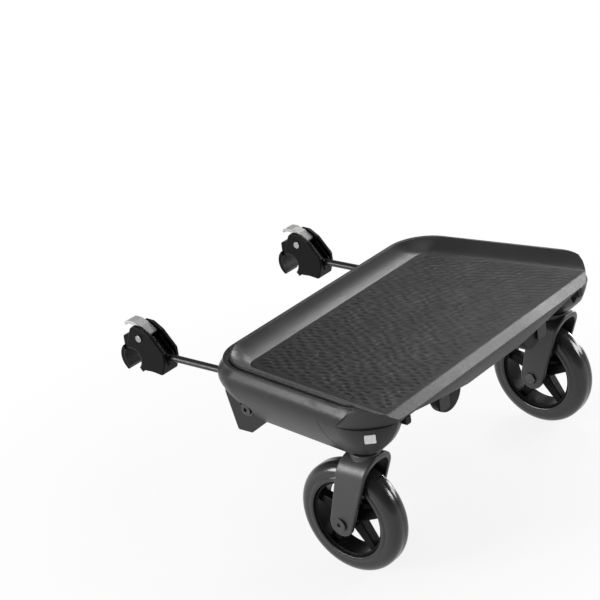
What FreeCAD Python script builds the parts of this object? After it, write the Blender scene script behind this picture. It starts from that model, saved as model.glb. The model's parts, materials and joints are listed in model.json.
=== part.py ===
import FreeCAD, Part
import math
import os

# Buggy board: a shallow flared deck on two swivel casters, towed by two arms that clamp a round axle.
# Millimetres. X is the board's width, +Y points along the arms, Z is up and 0 on the floor.
# Distances along Y are laid out from the caster wheels' axles and moved to the board's middle on export.

V = FreeCAD.Vector

# General clearances
overrun = 5.0
press_gap = 0.05
running_gap = 0.05
body_gap = 0.3
seam_gap = 0.25
plane_gap = 0.01
least_edge_deg = 20.0

# Deck outline at the groove that runs along its rim
deck_front_y = 168.5
deck_rear_y = -61.5
deck_front_half_width = 181.2
deck_rear_half_width = 210.8
front_corner_radius = 52.0
rear_corner_radius = 38.0
deck_depth = 62.0

# Outer wall of the base moulding, as offsets from that outline
wall_top_drop = 2.0
wall_lip = 3.6
wall_bulge = 8.0
wall_tuck = 9.0
wall_thickness = 2.7
bulge_height_share = 0.3
tuck_power = 1.5
wall_section_count = 8
front_wall_drop = 38.0
front_wall_depth = 18.5
rear_arch_low_drop = 42.0
rear_arch_mid_drop = 31.0
rear_arch_high_drop = 23.0
rear_arch_low_half = 50.0
rear_arch_mid_inset = 67.0
rear_arch_high_inset = 22.0
rear_arch_end_inset = 10.0
rear_wall_depth = 20.0

# Tray that drops into the base
groove_half_width = 0.9
tray_ledge_gap = 0.4
tray_ledge_drop = 6.5
tray_thickness = 3.5
tray_skirt_drop = 21.0
rim_land = 2.5
crown_lip = 0.6
well_depth = 13.0
cove_side_width = 25.0
cove_front_width = 27.0
mat_corner_radius = 13.0
open_end_radius = 5.0
cove_height_shares = (0.0, 0.12, 0.35, 0.66, 1.0)
cove_width_shares = (1.0, 0.78, 0.51, 0.24, 0.0)
cap_seam_drop = 24.5
cap_seam_low_run = 45.5
cap_seam_high_run = 24.0
corner_face_radius = 57.6
corner_face_setback = 15.3
corner_face_turn_deg = -32.5
bevel_top_drop = 11.4
bevel_low_drop = 20.7
bevel_run = 6.5

# Grip mat
mat_thickness = 2.3
mat_recess = 2.0
mat_gap = 0.4
mat_rear_lip = 1.2

# Ribs, bosses and screws under the tray
rib_thickness = 3.0
rib_depth = 16.5
rib_pitch = 50.0
rib_count = 5
rib_length_shares = (0.146, 0.441, 0.702)
boss_radius = 5.5
tray_screw_radius = 2.0
tray_screw_head_radius = 3.8
tray_screw_head = 2.4
tray_screw_bite = 2.6

# Pivot brackets at the front corners
pivot_setback = 40.8
pivot_rise = 10.6
tab_inset = 1.2
tab_thickness = 7.0
tab_drop = 19.0
tab_low_rear_run = 0.3
tab_low_front_run = 19.3
tab_rear_run = 23.7
tab_front_setback = 10.5
tab_front_rise = 12.9
tab_corner_radius = 3.0
tab_edge = 1.5
shaft_radius = 5.0
lug_thickness = 5.0
lug_half_depth = 11.0
lug_wall = 6.0
shaft_screw_radius = 2.5
shaft_screw_bite = 12.0
shaft_screw_head_radius = 6.0
shaft_screw_head = 3.6
shaft_screw_socket_radius = 2.9
shaft_screw_socket = 2.0
shaft_washer_radius = 8.5
shaft_washer = 1.4
dimple_room = 1.2

# Tow arms
arm_inset = 40.5
rod_rise = 12.4
rod_radius = 4.0
rod_rear_run = 21.3
rod_end_setback = 34.8
knuckle_width = 14.0
knuckle_pivot_radius = 11.0
knuckle_rod_radius = 7.5
knuckle_length = 30.3
knuckle_edge = 1.5
arm_notch_half_width = 9.0
arm_notch_drop = 20.0
arm_notch_radius = 4.0

# Axle clamps, their outlines as steps along Y and Z from the middle of the clamped axle
axle_y = 317.8
axle_drop = 5.5
axle_radius = 12.5
clamp_half_width = 12.5
clamp_gap_half_width = 8.0
clamp_pad = 1.6
clamp_saddle_wall = 4.6
saddle_start_deg = 66.0
saddle_end_deg = 228.0
clamp_edge = 1.5
clamp_pin_setback = 14.8
clamp_pin_rise = 27.5
clamp_pin_radius = 2.5
clamp_pin_head_radius = 4.0
clamp_pin_head = 1.4
cheek_corner_radius = 4.0
cheek_steps = (
    (-1.8, 37.0), (-6.8, 41.0), (-18.3, 40.5), (-31.3, 32.8), (-47.8, 14.0),
    (-48.1, 2.5), (-42.6, -13.3), (-27.8, -11.5), (-13.8, -12.0), (0.0, 0.0), (8.7, 11.5),
)
throat_steps = (
    (17.2, 18.1), (0.0, 19.7), (-12.8, 13.8), (-26.8, 13.8), (-29.2, 24.5),
    (-55.8, -6.0), (-55.8, 52.5), (17.2, 52.5),
)
clamp_rib_x = 4.6
clamp_rib_thickness = 1.8
clamp_rib_drop = 4.5
clamp_rib_setback = 29.8
clamp_rib_foot = 2.5

# Clamp jaw and lever, both on the clamp's pin, the lever's top as steps from the pin
jaw_start_deg = 44.0
jaw_end_deg = -56.0
jaw_wall = 5.0
jaw_half_width = 12.0
jaw_arm_half_width = 7.6
jaw_arm_inner = 4.4
jaw_knuckle_radius = 5.0
jaw_arm_run = 11.2
jaw_arm_rise = 22.1
jaw_arm_radius = 3.2
jaw_edge = 1.2
lever_half_width = 7.5
lever_hub_half_width = 4.0
lever_hub_radius = 5.4
lever_thickness = 4.2
lever_edge = 1.2
lever_steps = ((25.0, 13.4), (19.0, 16.6), (10.0, 16.4), (0.0, 12.2), (-10.0, 5.2))

# Caster housings, stems and release buttons
swivel_inset = 30.8
swivel_y = -24.0
housing_inner_inset = 12.0
housing_lift = 3.0
bowl_radii = (21.5, 26.8, 32.0, 36.6, 40.8, 44.0)
bowl_height_shares = (0.0, 0.14, 0.29, 0.48, 0.72, 1.0)
seat_plate_radius = 40.0
open_rear = 40.0
stem_radius = 5.5
stem_groove_radius = 4.0
stem_top_drop = 4.5
bush_wall = 3.4
bush_top_drop = 7.5
bush_flange_radius = 14.0
bush_flange = 1.4
socket_room = 1.0
housing_screw_radius = 2.0
housing_screw_head_radius = 3.6
housing_screw_head = 2.4
housing_screw_length = 14.0
housing_screw_steps = ((-24.0, -10.0), (-10.0, 30.0))
button_turn_deg = -37.9
button_width = 11.6
button_height = 9.6
button_drop = 11.0
button_proud = 1.0
button_length = 15.0
button_corner_radius = 1.0
button_gap = 0.3
button_stroke = 3.5
latch_thickness = 1.8
latch_groove = 2.6
latch_width = 22.0
latch_reach = 12.0
latch_slot_gap = 0.25
latch_room = 0.4
spring_radius = 2.6
spring_wire = 0.35
spring_length = 8.0
spring_turns = 5

# Casters
wheel_radius = 62.5
wheel_width = 30.0
tyre_depth = 19.5
tyre_shoulder_radius = 12.0
tyre_bead_radius = 1.5
rim_wall = 3.0
rim_edge = 1.0
rim_width = 24.0
hub_radius = 11.0
hub_width = 27.0
hub_edge = 1.0
spoke_count = 5
spoke_hub_radius = 7.5
spoke_rim_radius = 4.5
spoke_root = 8.0
spoke_thickness = 12.0
spoke_edge = 1.5
bearing_radius = 8.0
bearing_width = 5.0
axle_bolt_radius = 4.0
axle_head_radius = 7.0
axle_head = 2.6
axle_socket_radius = 3.0
axle_socket = 1.6
spacer_radius = 6.0
fork_inner_half = 19.3
fork_leg = 5.0
fork_end_radius = 14.3
fork_crown_gap = 9.6
fork_crown = 6.5
fork_top_half_depth = 18.0
fork_arch_radius = 16.0
fork_shoulder_radius = 20.0
fork_outer_edge = 2.0
fork_inner_edge = 1.0
collar_radius = 16.0
collar_height = 2.2
collar_edge = 0.8

# Bumpers and pads under the rear edge
bumper_x = 79.0
bumper_drop = 38.5
bumper_radius = 22.0
bumper_depth = 12.0
bumper_edge = 3.0
bumper_setback = 13.5
bumper_tab_inner_step = 5.0
bumper_tab_width = 17.0
bumper_tab_drop = 52.0
bumper_tab_thickness = 2.7
bumper_tab_corner = 3.0
pad_inset = 17.0
pad_half_width = 4.2
pad_height = 8.0
pad_proud = 8.3
pad_setback = 4.5
pad_corner = 2.0

# Radii that follow
tyre_seat_radius = wheel_radius - tyre_depth
rim_inner_radius = tyre_seat_radius - rim_wall
axle_bore_radius = axle_radius + clamp_pad
saddle_outer_radius = axle_bore_radius + clamp_saddle_wall
jaw_outer_radius = axle_bore_radius + jaw_wall

# Heights that follow, from the floor up through wheel, fork and collar to the deck
wheel_z = wheel_radius
crown_low_z = wheel_z + wheel_radius + fork_crown_gap
crown_top_z = crown_low_z + fork_crown
collar_top_z = crown_top_z + collar_height
flange_low_z = collar_top_z + body_gap
wall_bottom_z = flange_low_z + bush_flange
housing_low_z = wall_bottom_z + housing_lift
crest_z = wall_bottom_z + deck_depth
wall_top_z = crest_z - wall_top_drop
front_wall_bottom_z = crest_z - front_wall_drop
rear_arch_low_z = crest_z - rear_arch_low_drop
rear_arch_mid_z = crest_z - rear_arch_mid_drop
rear_arch_high_z = crest_z - rear_arch_high_drop
tray_ledge_z = crest_z - tray_ledge_drop
tray_skirt_bottom_z = crest_z - tray_skirt_drop
cove_floor_z = crest_z - well_depth
mat_seat_z = cove_floor_z - mat_recess
tray_underside_z = mat_seat_z - tray_thickness
rib_low_z = tray_underside_z - rib_depth
cap_seam_z = crest_z - cap_seam_drop
seat_plate = tray_skirt_bottom_z - body_gap - cap_seam_z - seam_gap
bevel_top_z = crest_z - bevel_top_drop
bevel_low_z = crest_z - bevel_low_drop
button_z = cap_seam_z - button_drop
bush_top_z = button_z - bush_top_drop
stem_top_z = cap_seam_z - stem_top_drop
bumper_z = crest_z - bumper_drop
bumper_tab_low_z = crest_z - bumper_tab_drop
arm_notch_top_z = crest_z - arm_notch_drop
pivot_z = wall_bottom_z + pivot_rise
tab_low_z = wall_bottom_z - tab_drop
tab_rear_z = wall_bottom_z
tab_front_z = pivot_z + tab_front_rise
tab_top_z = tray_skirt_bottom_z - body_gap
rod_z = pivot_z + rod_rise
axle_z = rod_z - axle_drop
clamp_pin_z = axle_z + clamp_pin_rise
clamp_rib_low_z = axle_z - clamp_rib_foot
jaw_arm_z = axle_z + jaw_arm_rise
clamp_low_z = axle_z - 2 * saddle_outer_radius
clamp_high_z = clamp_pin_z + saddle_outer_radius

# Places across the board that follow
widest_half = max(deck_front_half_width, deck_rear_half_width) + wall_bulge + overrun
swivel_x = deck_rear_half_width - swivel_inset
housing_inner_x = swivel_x - housing_inner_inset
rear_arch_mid_half = swivel_x - rear_arch_mid_inset
rear_arch_high_half = swivel_x - rear_arch_high_inset
rear_arch_end_half = swivel_x - rear_arch_end_inset
pad_x = swivel_x - pad_inset
bumper_tab_inner_x = bumper_x + bumper_tab_inner_step
bumper_tab_outer_x = bumper_tab_inner_x + bumper_tab_width
tab_outer_x = deck_front_half_width - tab_inset
arm_x = deck_front_half_width - arm_inset
fork_outer_half = fork_inner_half + fork_leg
rib_xs = tuple(rib_pitch * (index - (rib_count - 1) / 2) for index in range(rib_count))

# Places along the board that follow
rib_ys = tuple(deck_rear_y + (deck_front_y - deck_rear_y) * share for share in rib_length_shares)
front_wall_back_y = deck_front_y - front_wall_depth
pivot_y = deck_front_y - pivot_setback
tab_low_rear_y = pivot_y + tab_low_rear_run
tab_low_front_y = pivot_y + tab_low_front_run
tab_rear_y = pivot_y - tab_rear_run
tab_front_y = deck_front_y - tab_front_setback
rod_rear_y = pivot_y + rod_rear_run
rod_front_y = axle_y - rod_end_setback
knuckle_rod_y = pivot_y + knuckle_length
clamp_pin_y = axle_y - clamp_pin_setback
clamp_rib_front_y = axle_y - clamp_rib_setback
jaw_arm_y = axle_y + jaw_arm_run
cap_seam_low_y = deck_rear_y + cap_seam_low_run
cap_seam_high_y = deck_rear_y + cap_seam_high_run
bevel_top_y = deck_rear_y
bevel_low_y = deck_rear_y - bevel_run
bumper_front_y = deck_rear_y + bumper_setback
pad_rear_y = deck_rear_y - pad_proud
pad_front_y = deck_rear_y + pad_setback
flare = math.atan2(deck_rear_half_width - deck_front_half_width, deck_front_y - deck_rear_y)
front_reach_y = axle_y + jaw_outer_radius
origin_y = (front_reach_y + pad_rear_y) / 2

# Outlines and spots that follow
cheek_outline = [(axle_y + run, axle_z + rise) for run, rise in cheek_steps]
throat_outline = [(axle_y + run, axle_z + rise) for run, rise in throat_steps]
lever_top = [(clamp_pin_y + run, clamp_pin_z + rise) for run, rise in lever_steps]
housing_screw_spots = [(swivel_x + across, swivel_y + along) for across, along in housing_screw_steps]

PLANES = {
    "xy": (lambda u, v, w: V(u, v, w), V(0, 0, 1)),
    "yz": (lambda u, v, w: V(w, u, v), V(1, 0, 0)),
    "xz": (lambda u, v, w: V(u, w, v), V(0, 1, 0)),
}


def joined(edges):
    """One closed wire from edges that follow each other."""
    return Part.Wire([edge.toShape() for edge in edges])


def rounded_wire(corners, place):
    """A closed outline through (u, v, radius) corners, each rounded by a tangent arc."""
    starts, middles, ends = [], [], []
    for index, (u, v, radius) in enumerate(corners):
        here = V(u, v, 0)
        before = V(*corners[index - 1][:2], 0) - here
        after = V(*corners[(index + 1) % len(corners)][:2], 0) - here
        before.normalize()
        after.normalize()
        half = before.getAngle(after) / 2
        middle = before + after
        middle.normalize()
        starts.append(here + before * (radius / math.tan(half)))
        middles.append(here + middle * (radius / math.sin(half) - radius))
        ends.append(here + after * (radius / math.tan(half)))
    edges = []
    for index, (u, v, radius) in enumerate(corners):
        following = (index + 1) % len(corners)
        if radius > 0:
            arc = [place(p.x, p.y) for p in (starts[index], middles[index], ends[index])]
            edges.append(Part.Arc(*arc))
        edges.append(Part.LineSegment(place(ends[index].x, ends[index].y),
                                      place(starts[following].x, starts[following].y)))
    return joined(edges)


def hull_wire(circles, place):
    """The outline of a band pulled round (u, v, radius) circles, taken anticlockwise."""
    leaving = []
    for index, (u, v, radius) in enumerate(circles):
        next_u, next_v, next_radius = circles[(index + 1) % len(circles)]
        heading = math.atan2(next_v - v, next_u - u)
        lean = math.acos((radius - next_radius) / math.hypot(next_u - u, next_v - v))
        leaving.append(heading - lean)
    edges = []
    for index, (u, v, radius) in enumerate(circles):
        first = leaving[index - 1]
        last = leaving[index]
        while last < first:
            last += 2 * math.pi
        arc = [place(u + radius * math.cos(a), v + radius * math.sin(a))
               for a in (first, (first + last) / 2, last)]
        edges.append(Part.Arc(*arc))
        next_u, next_v, next_radius = circles[(index + 1) % len(circles)]
        edges.append(Part.LineSegment(arc[2], place(next_u + next_radius * math.cos(last),
                                                    next_v + next_radius * math.sin(last))))
    return joined(edges)


def prism(wire_maker, points, plane, start, end):
    """A straight solid on an outline in the plane, from start to end along its normal."""
    place, along = PLANES[plane]
    wire = wire_maker(points, lambda u, v: place(u, v, start))
    return Part.Face(wire).extrude(along * (end - start))


def block(x0, x1, y0, y1, z0, z1):
    return Part.makeBox(x1 - x0, y1 - y0, z1 - z0, V(x0, y0, z0))


def tube_x(radius, x0, x1, y, z):
    return Part.makeCylinder(radius, x1 - x0, V(x0, y, z), V(1, 0, 0))


def post(radius, x, y, z0, z1):
    return Part.makeCylinder(radius, z1 - z0, V(x, y, z0))


def all_rounded(points, radius):
    return [(u, v, radius) for u, v in points]


def is_sharp(shape, edge):
    """Whether the two faces at an edge meet at an angle."""
    middle = edge.valueAt((edge.FirstParameter + edge.LastParameter) / 2)
    faces = shape.ancestorsOfType(edge, Part.Face)
    normals = [face.normalAt(*face.Surface.parameter(middle)) for face in faces]
    return len(normals) == 2 and normals[0].getAngle(normals[1]) > math.radians(least_edge_deg)


def eased(shape, radius, way, *places):
    """The shape with the sharp edges rounded that lie in the given planes across X, Y or Z."""
    edges = []
    for edge in shape.Edges:
        low = getattr(edge.BoundBox, way + "Min")
        high = getattr(edge.BoundBox, way + "Max")
        inside = [place for place in places if max(abs(low - place), abs(high - place)) < plane_gap]
        if inside and is_sharp(shape, edge):
            edges.append(edge)
    return shape.makeFillet(radius, edges)


def sector(inner, outer, start_deg, end_deg, x0, x1):
    """A curved wall round the clamped axle, between two angles counted from +Y towards +Z."""
    def spot(radius, degrees):
        angle = math.radians(degrees)
        return V(x0, axle_y + radius * math.cos(angle), axle_z + radius * math.sin(angle))
    middle = (start_deg + end_deg) / 2
    edges = [
        Part.Arc(spot(inner, start_deg), spot(inner, middle), spot(inner, end_deg)),
        Part.LineSegment(spot(inner, end_deg), spot(outer, end_deg)),
        Part.Arc(spot(outer, end_deg), spot(outer, middle), spot(outer, start_deg)),
        Part.LineSegment(spot(outer, start_deg), spot(inner, start_deg)),
    ]
    return Part.Face(joined(edges)).extrude(V(x1 - x0, 0, 0))


def deck_corners(side, front, rear, front_radius, rear_radius):
    """Corners of the deck's plan, its edges moved out by the given offsets."""
    def half_width(y):
        return deck_front_half_width + (deck_front_y - y) * math.tan(flare) + side / math.cos(flare)
    front_y = deck_front_y + front
    rear_y = deck_rear_y - rear
    return [
        (half_width(front_y), front_y, front_radius), (-half_width(front_y), front_y, front_radius),
        (-half_width(rear_y), rear_y, rear_radius), (half_width(rear_y), rear_y, rear_radius),
    ]


def deck_wire(offset, z):
    """The deck's plan moved out by offset; its front corners get squarer and its rear ones rounder."""
    corners = deck_corners(offset, offset, offset, front_corner_radius - offset, rear_corner_radius + offset)
    return rounded_wire(corners, lambda u, v: V(u, v, z))


def wall_offset(share):
    """How far the wall stands outside the groove, from its top edge (0) to its bottom edge (1)."""
    if share < bulge_height_share:
        rise = math.sin(math.pi / 2 * share / bulge_height_share)
        return wall_lip + (wall_bulge - wall_lip) * rise
    run = (share - bulge_height_share) / (1 - bulge_height_share)
    return wall_bulge - (wall_bulge + wall_tuck) * run ** tuck_power


def wall_loft(inset, reach):
    """The base's outer form, drawn in by inset and lengthened by reach at both ends."""
    height = wall_top_z - wall_bottom_z
    wires = []
    for index in range(wall_section_count):
        share = index / (wall_section_count - 1)
        wires.append(deck_wire(wall_offset(share) - inset, wall_top_z - share * height))
    body = Part.makeLoft(wires, True, False)
    if reach == 0:
        return body
    top = Part.Face(deck_wire(wall_offset(0) - inset, wall_top_z)).extrude(V(0, 0, reach))
    bottom = Part.Face(deck_wire(wall_offset(1) - inset, wall_bottom_z)).extrude(V(0, 0, -reach))
    return body.fuse([top, bottom])


def mirrored(shape):
    return shape.mirror(V(0, 0, 0), V(1, 0, 0))


def both_sides(shape):
    """The shape and its mirror image, as two solids of one group."""
    return Part.makeCompound([shape, mirrored(shape)])


def cap_region(gap):
    """The rear part of the deck above the crease, which the tray covers down to the outside."""
    far_y = deck_rear_y - wall_bulge - overrun
    points = [(far_y, cap_seam_z - gap), (cap_seam_low_y + gap, cap_seam_z - gap),
              (cap_seam_high_y + gap, wall_top_z), (cap_seam_high_y + gap, crest_z + overrun),
              (far_y, crest_z + overrun)]
    return prism(rounded_wire, all_rounded(points, 0), "yz", -widest_half, widest_half)


def bevel_cut():
    """Everything behind the slanting face along the rear edge."""
    lean = (bevel_low_y - bevel_top_y) / (bevel_top_z - bevel_low_z)
    high_z = crest_z + overrun
    low_z = bevel_low_z - overrun
    far_y = bevel_low_y - wall_bulge - 2 * overrun
    points = [(bevel_top_y + (bevel_top_z - high_z) * lean, high_z), (far_y, high_z), (far_y, low_z),
              (bevel_top_y + (bevel_top_z - low_z) * lean, low_z)]
    return prism(rounded_wire, all_rounded(points, 0), "yz", -widest_half, widest_half)


def recess():
    """The hollow above the deck: a flat floor and a broad cove up to the rim, open at the rear."""
    wires = []
    depth = crest_z - cove_floor_z
    inner = groove_half_width + rim_land
    for height_share, width_share in zip(cove_height_shares, cove_width_shares):
        side = -inner - (cove_side_width - inner) * width_share
        front = -inner - (cove_front_width - inner) * width_share
        corner = mat_corner_radius + (front_corner_radius - inner - mat_corner_radius) * (1 - width_share)
        corners = deck_corners(side, front, open_rear, corner, open_end_radius)
        z = cove_floor_z + depth * height_share
        wires.append(rounded_wire(corners, lambda u, v: V(u, v, z)))
    cove = Part.makeLoft(wires, True, False)
    lid = Part.Face(wires[-1]).extrude(V(0, 0, overrun))
    return cove.fuse(lid)


def mat_region(gap, low_z, high_z):
    """The floor inside the cove, drawn in by gap, between two heights."""
    corners = deck_corners(-cove_side_width - gap, -cove_front_width - gap, overrun,
                           mat_corner_radius - gap, open_end_radius)
    return prism(rounded_wire, corners, "xy", low_z, high_z)


def behind_mat(gap):
    """The room behind the mat's rear edge, which leaves a narrow lip along the slanting face."""
    lean = (bevel_low_y - bevel_top_y) / (bevel_top_z - bevel_low_z)
    edge_y = bevel_top_y + (bevel_top_z - cove_floor_z) * lean
    return block(-widest_half, widest_half, deck_rear_y - open_rear, edge_y + mat_rear_lip + gap,
                 mat_seat_z - overrun, crest_z)


def tray_screw_spots():
    return [(x, y) for x in (rib_xs[0], rib_xs[-1]) for y in (rib_ys[0], rib_ys[1], rib_ys[2])]


def corner_face_cut():
    """What the flatter upright face at a rear corner takes off the tray's cap."""
    middle = button_frame()[0]
    turn = math.radians(corner_face_turn_deg)
    axis = middle - V(math.cos(turn), math.sin(turn), 0) * corner_face_setback
    low_z = cap_seam_z - overrun
    high_z = crest_z + overrun
    far_y = deck_rear_y - wall_bulge - overrun
    room = block(middle.x, widest_half, far_y, cap_seam_low_y + overrun, low_z, high_z)
    return room.cut(post(corner_face_radius, axis.x, axis.y, low_z - overrun, high_z + overrun))


def deck_tray(outer):
    rim = Part.Face(deck_wire(-groove_half_width, tray_skirt_bottom_z)).extrude(
        V(0, 0, crest_z - tray_skirt_bottom_z))
    ledge_offset = wall_offset(0) - wall_thickness - tray_ledge_gap
    ledge = Part.Face(deck_wire(ledge_offset, tray_skirt_bottom_z)).extrude(
        V(0, 0, tray_ledge_z - tray_skirt_bottom_z))
    crown = Part.makeLoft([deck_wire(wall_lip, wall_top_z), deck_wire(crown_lip, crest_z)], True, True)
    cap = outer.fuse(crown).common(cap_region(0))
    hollow = recess()
    under = Part.Face(deck_wire(-groove_half_width - tray_thickness, cap_seam_z - overrun)).extrude(
        V(0, 0, crest_z - tray_thickness - cap_seam_z + overrun))
    lowered = hollow.copy()
    lowered.translate(V(0, 0, -tray_thickness - mat_recess))
    under = under.cut(lowered)
    tray = rim.fuse([ledge, cap]).cut(hollow).cut(under)
    pocket = mat_region(0, mat_seat_z, cove_floor_z + overrun).cut(behind_mat(0))
    tray = tray.cut(pocket).cut(bevel_cut())
    tray = tray.cut(corner_face_cut()).cut(mirrored(corner_face_cut()))
    for x, y in tray_screw_spots():
        tray = tray.cut(post(tray_screw_radius + press_gap, x, y, tray_underside_z - overrun,
                             tray_underside_z + tray_screw_bite + press_gap))
    return tray


def grip_mat():
    return mat_region(mat_gap, mat_seat_z, mat_seat_z + mat_thickness).cut(behind_mat(mat_gap))


def housing_bowl(gap):
    """A rounded bowl round the swivel axis, from the collar up to the crease."""
    outline = [V(0, 0, housing_low_z - gap)]
    height = cap_seam_z - housing_low_z + gap
    for radius, height_share in zip(bowl_radii, bowl_height_shares):
        outline.append(V(radius + gap, 0, housing_low_z - gap + height * height_share))
    side = Part.BSplineCurve()
    side.interpolate(outline[1:])
    top = V(0, 0, cap_seam_z + gap)
    rim = V(outline[-1].x, 0, top.z)
    edges = [Part.LineSegment(outline[0], outline[1]), side]
    if gap > 0:
        edges.append(Part.LineSegment(outline[-1], rim))
    edges += [Part.LineSegment(rim, top), Part.LineSegment(top, outline[0])]
    bowl = Part.Face(joined(edges)).revolve(V(0, 0, 0), V(0, 0, 1), 360)
    bowl.translate(V(swivel_x, swivel_y, 0))
    return bowl


def housing_region(gap):
    """What the base leaves free for a housing: the bowl, and all that lies behind it."""
    square = block(housing_inner_x - gap, widest_half,
                   deck_rear_y - wall_bulge - overrun, swivel_y, wall_bottom_z - overrun, cap_seam_z + gap)
    return housing_bowl(gap).fuse(square)


def deck_base(outer, inner):
    shell = outer.cut(inner)
    front_end_y = deck_front_y + wall_bulge + overrun
    shell = shell.cut(block(-widest_half, widest_half, front_wall_back_y, front_end_y,
                            wall_bottom_z - overrun, front_wall_bottom_z))
    arch = [(-rear_arch_end_half, rear_arch_high_z), (-rear_arch_high_half, rear_arch_high_z),
            (-rear_arch_mid_half, rear_arch_mid_z), (-rear_arch_low_half, rear_arch_low_z),
            (rear_arch_low_half, rear_arch_low_z), (rear_arch_mid_half, rear_arch_mid_z),
            (rear_arch_high_half, rear_arch_high_z), (rear_arch_end_half, rear_arch_high_z),
            (rear_arch_end_half, wall_bottom_z - overrun), (-rear_arch_end_half, wall_bottom_z - overrun)]
    shell = shell.cut(prism(rounded_wire, all_rounded(arch, 0), "xz",
                            deck_rear_y - wall_bulge - overrun, deck_rear_y + rear_wall_depth))
    grid = []
    for x in rib_xs:
        grid.append(block(x - rib_thickness / 2, x + rib_thickness / 2, deck_rear_y - wall_bulge,
                          deck_front_y + wall_bulge, rib_low_z, tray_underside_z))
    for y in rib_ys:
        grid.append(block(-widest_half, widest_half, y - rib_thickness / 2,
                          y + rib_thickness / 2, rib_low_z, tray_underside_z))
    for x, y in tray_screw_spots():
        grid.append(post(boss_radius, x, y, rib_low_z, tray_underside_z))
    ribs = grid[0].multiFuse(grid[1:])
    bay = Part.Face(deck_wire(-groove_half_width - tray_thickness - body_gap,
                              wall_bottom_z)).extrude(V(0, 0, crest_z - wall_bottom_z))
    skirt = Part.Face(deck_wire(wall_lip, tray_skirt_bottom_z - body_gap)).extrude(
        V(0, 0, crest_z - tray_skirt_bottom_z))
    ribs = ribs.common(outer).cut(skirt.cut(bay))
    plate_low_z = cap_seam_z + seam_gap
    plate = post(seat_plate_radius, swivel_x, swivel_y, plate_low_z, plate_low_z + seat_plate)
    plate = plate.common(inner)
    brackets = []
    for x in (arm_x - knuckle_width / 2 - body_gap - lug_thickness, arm_x + knuckle_width / 2 + body_gap):
        lug = [(pivot_y - lug_half_depth, pivot_z - shaft_radius - lug_wall),
               (pivot_y + lug_half_depth, pivot_z - shaft_radius - lug_wall),
               (pivot_y + lug_half_depth, tray_underside_z), (pivot_y - lug_half_depth, tray_underside_z)]
        brackets.append(prism(rounded_wire, all_rounded(lug, tab_corner_radius), "yz", x, x + lug_thickness))
    brackets.append(block(arm_x - knuckle_width / 2 - lug_thickness, tab_outer_x - tab_thickness,
                          pivot_y - lug_half_depth, pivot_y - lug_half_depth + rib_thickness,
                          rib_low_z, tray_underside_z))
    brackets.append(block(rib_xs[-1], arm_x, pivot_y - lug_half_depth,
                          pivot_y - lug_half_depth + rib_thickness, rib_low_z, tray_underside_z))
    tab = [(tab_low_rear_y, tab_low_z), (tab_low_front_y, tab_low_z), (tab_front_y, tab_front_z),
           (tab_front_y, tab_top_z), (tab_rear_y, tab_top_z), (tab_rear_y, tab_rear_z)]
    tab = all_rounded(tab, tab_corner_radius)
    tab = prism(rounded_wire, tab, "yz", tab_outer_x - tab_thickness, tab_outer_x)
    brackets.append(eased(tab, tab_edge, "X", tab_outer_x))
    bumper_tab = [(bumper_tab_inner_x, bumper_tab_low_z), (bumper_tab_outer_x, bumper_tab_low_z),
                  (bumper_tab_outer_x, cap_seam_z - seam_gap), (bumper_tab_inner_x, cap_seam_z - seam_gap)]
    tab_rear = bumper_front_y - bumper_depth
    brackets.append(prism(rounded_wire, all_rounded(bumper_tab, bumper_tab_corner), "xz",
                          tab_rear - bumper_tab_thickness, tab_rear))
    notch_low_z = wall_bottom_z - arm_notch_radius - overrun
    notch = prism(rounded_wire, all_rounded(
        [(arm_x - arm_notch_half_width, notch_low_z), (arm_x + arm_notch_half_width, notch_low_z),
         (arm_x + arm_notch_half_width, arm_notch_top_z), (arm_x - arm_notch_half_width, arm_notch_top_z)],
        arm_notch_radius), "xz", pivot_y + lug_half_depth, front_end_y)
    base = shell.fuse(ribs)
    for shape in [plate] + brackets:
        base = base.fuse([shape, mirrored(shape)])
    for shape in (housing_region(seam_gap), notch):
        base = base.cut(shape).cut(mirrored(shape))
    base = base.cut(cap_region(seam_gap).cut(bay))
    base = base.cut(tube_x(shaft_radius + press_gap, -tab_outer_x - overrun, tab_outer_x + overrun,
                           pivot_y, pivot_z))
    dimple = tube_x(shaft_washer_radius + dimple_room, tab_outer_x, widest_half, pivot_y, pivot_z)
    base = base.cut(dimple).cut(mirrored(dimple))
    for x, y in tray_screw_spots():
        base = base.cut(post(tray_screw_radius + press_gap, x, y,
                             rib_low_z - overrun, tray_underside_z + overrun))
    for x, y in housing_screw_spots:
        hole = post(housing_screw_radius + press_gap, x, y, cap_seam_z, cap_seam_z + seat_plate + overrun)
        base = base.cut(hole).cut(mirrored(hole))
    return base.removeSplitter()


def button_frame():
    """Middle of the rear corner's arc, the way out through the button, and the way across it."""
    lean = math.pi / 2 - flare
    setback = rear_corner_radius / math.tan(lean / 2)
    corner_x = deck_rear_half_width - setback
    out = V(math.cos(math.radians(button_turn_deg)), math.sin(math.radians(button_turn_deg)), 0)
    across = V(-out.y, out.x, 0)
    return V(corner_x, deck_rear_y + rear_corner_radius, 0), out, across


def along_button(t0, t1, p0, p1, z0, z1, radius):
    """A block laid along the button's way, from t0 to t1 outwards and p0 to p1 across."""
    middle, out, across = button_frame()

    def place(u, v):
        return middle + out * t0 + across * u + V(0, 0, v)
    corners = all_rounded([(p0, z0), (p1, z0), (p1, z1), (p0, z1)], radius)
    return Part.Face(rounded_wire(corners, place)).extrude(out * (t1 - t0))


def stem_in_button_frame():
    middle, out, across = button_frame()
    lead = V(swivel_x, swivel_y, 0) - middle
    return lead.dot(out), lead.dot(across)


def button_face():
    """How far out the button's face stands from the middle of the corner's arc."""
    share = (wall_top_z - button_z) / (wall_top_z - wall_bottom_z)
    return rear_corner_radius + wall_offset(share) + button_proud


def latch_ends():
    stem_t, stem_p = stem_in_button_frame()
    inner = stem_t - stem_radius - latch_reach
    return inner, button_face() - button_length, stem_p


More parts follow.
